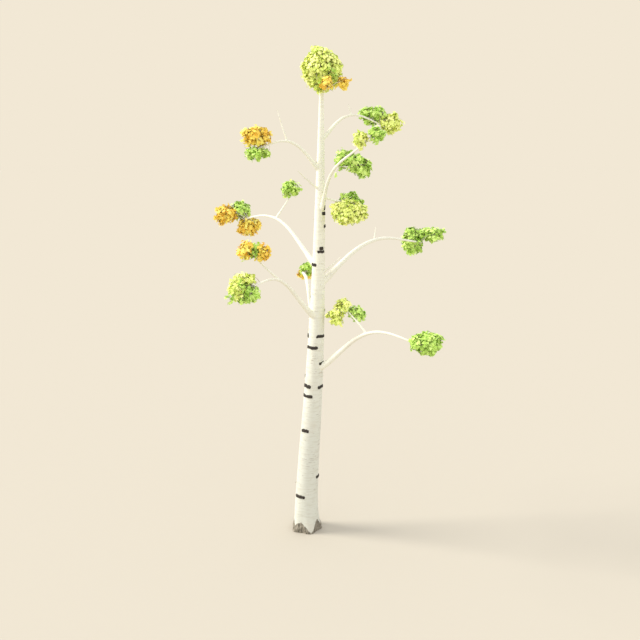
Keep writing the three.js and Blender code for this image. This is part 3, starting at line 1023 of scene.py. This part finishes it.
twigCurves = {"pale": newCurve("pale", twigLook["sides"]), "fine": newCurve("fine", 1)}
sprayCurve = newCurve("spray", 0)
leaves = {(tint, shade): [] for tint in leafTints for shade in leafTints[tint]}
for limb in ["trunk", *limbNames]:
    carried = [mass for mass in masses if limbOf(mass) == limb]
    if not carried:
        continue
    line = lines[limb]
    far = line["along"][-1]
    begin = far - twigLook["trunkRoot"] if limb == "trunk" else far * twigLook["rootShare"]
    roots = line["points"][line["along"] >= begin][::-1][::2][::-1]  # every second, from the tip
    shownLimb = line if limb != "trunk" and far > leafLook["clearFrom"] else None
    sites, tints, solids = [], [], []
    for mass in carried:
        solid = solidOf(mass)
        found = spraySites(mass, solid)
        sites += found
        tints += [mass.rsplit("_", 1)[1]] * len(found)
        solids += [solid] * len(found)
    points, parents, reachedBy = growTwigs(roots, sites)
    addRuns(points, parents, reachedBy, twigLook["rootWidth"] * line["radii"][-1], twigCurves)
    for (site, normal, outward), tint, solid, node in zip(sites, tints, solids, reachedBy):
        before = parents[node]
        twigHeading = (points[node] - points[before]).normalized() if before >= 0 else normal
        shade = drawShade(site)
        addSpray(points[node], normal, outward, twigHeading, solid, shownLimb, leaves[tint, shade],
                 sprayCurve)
    print("twigs of", limb, len(sites), "sprays", len(points), "nodes")

for name in bareLimbs:
    addShoots(lines[name], twigCurves["pale"])
finish("twigs_pale", curveMesh("twigs_pale", twigCurves["pale"]), ["pale_twig_bark"])
finish("twigs_fine", curveMesh("twigs_fine", twigCurves["fine"]), ["twig_bark"])
finish("twigs_leafy", curveMesh("twigs_leafy", sprayCurve), ["shoot"])
for tint, shades in leafTints.items():
    stoodFor = [mass for mass in masses if mass.endswith("_" + tint)]
    for shade, color in shades.items():
        name = "leaves_" + tint + "_" + shade
        materials[name] = plainMaterial(name, color, leafLook["roughness"])
        finish(name, leafMesh(name, leaves[tint, shade]), [name], stoodFor)
        print(name, len(leaves[tint, shade]), "leaves")


stage = {
    "floor": 90, "floorSides": 96, "backdrop": (0.888, 0.807, 0.665), "fill": (1.16, 1.175, 1.19),
    "sun": 3.0, "sunHeading": 174, "sunRise": 36, "sunSoftness": 22, "sunColor": (1, 0.975, 0.91),
}


# The floor's own color is the one that looks like the backdrop in this light.
def makeFloor():
    look = stage
    bm = bmesh.new()
    bmesh.ops.create_circle(bm, cap_ends=True, radius=look["floor"], segments=look["floorSides"])
    floor = bpy.data.objects.new("floor", meshFrom("floor", bm, smooth=False))
    if floor.data.polygons[0].normal.z < 0:
        floor.data.flip_normals()
    bpy.context.scene.collection.objects.link(floor)
    direct = look["sun"] * math.sin(math.radians(look["sunRise"])) / math.pi
    matched = [seen / (fill + direct * tone)
               for seen, fill, tone in zip(look["backdrop"], look["fill"], look["sunColor"])]
    material, shader = newMaterial("floor", 1)
    shader.inputs["Base Color"].default_value = (*matched, 1)
    shader.inputs["Specular IOR Level"].default_value = 0
    floor.data.materials.append(material)


def makeSun():
    look = stage
    sun = bpy.data.lights.new("sun", "SUN")
    sun.energy, sun.color = look["sun"], look["sunColor"]
    sun.angle = math.radians(look["sunSoftness"])
    lamp = bpy.data.objects.new("sun", sun)
    heading, rise = math.radians(look["sunHeading"]), math.radians(look["sunRise"])
    towards = Vector((math.cos(heading) * math.cos(rise), math.sin(heading) * math.cos(rise),
                      math.sin(rise)))
    lamp.rotation_mode = "QUATERNION"
    lamp.rotation_quaternion = towards.to_track_quat("Z", "Y")
    bpy.context.scene.collection.objects.link(lamp)


# The camera sees the backdrop's color, and the tree is lit by the fill's.
def makeWorld():
    world = bpy.data.worlds.new("studio")
    bpy.context.scene.world = world
    world.use_nodes = True
    world.node_tree.nodes.clear()
    seen, fill = [addNode(world, "ShaderNodeBackground", {"Color": (*stage[kind], 1)}).outputs[0]
                  for kind in ("backdrop", "fill")]
    path = addNode(world, "ShaderNodeLightPath")
    mix = addNode(world, "ShaderNodeMixShader",
                  {"Fac": path.outputs["Is Camera Ray"], 1: fill, 2: seen})
    addNode(world, "ShaderNodeOutputWorld", {"Surface": mix.outputs[0]})
    bpy.context.scene.view_settings.view_transform = "Standard"


cameraLook = {"place": (0.274, -15.855, 8.232), "pitch": 14.3, "lens": 50, "sensor": 36,
              "farthest": 500}


def makeCamera():
    data = bpy.data.cameras.new("camera")
    data.lens, data.sensor_width = cameraLook["lens"], cameraLook["sensor"]
    data.clip_end = cameraLook["farthest"]
    camera = bpy.data.objects.new("camera", data)
    camera.location = cameraLook["place"]
    camera.rotation_euler = (math.radians(90 - cameraLook["pitch"]), 0, 0)
    bpy.context.scene.collection.objects.link(camera)
    bpy.context.scene.camera = camera


makeFloor()
makeSun()
makeWorld()
makeCamera()
print("stage set")
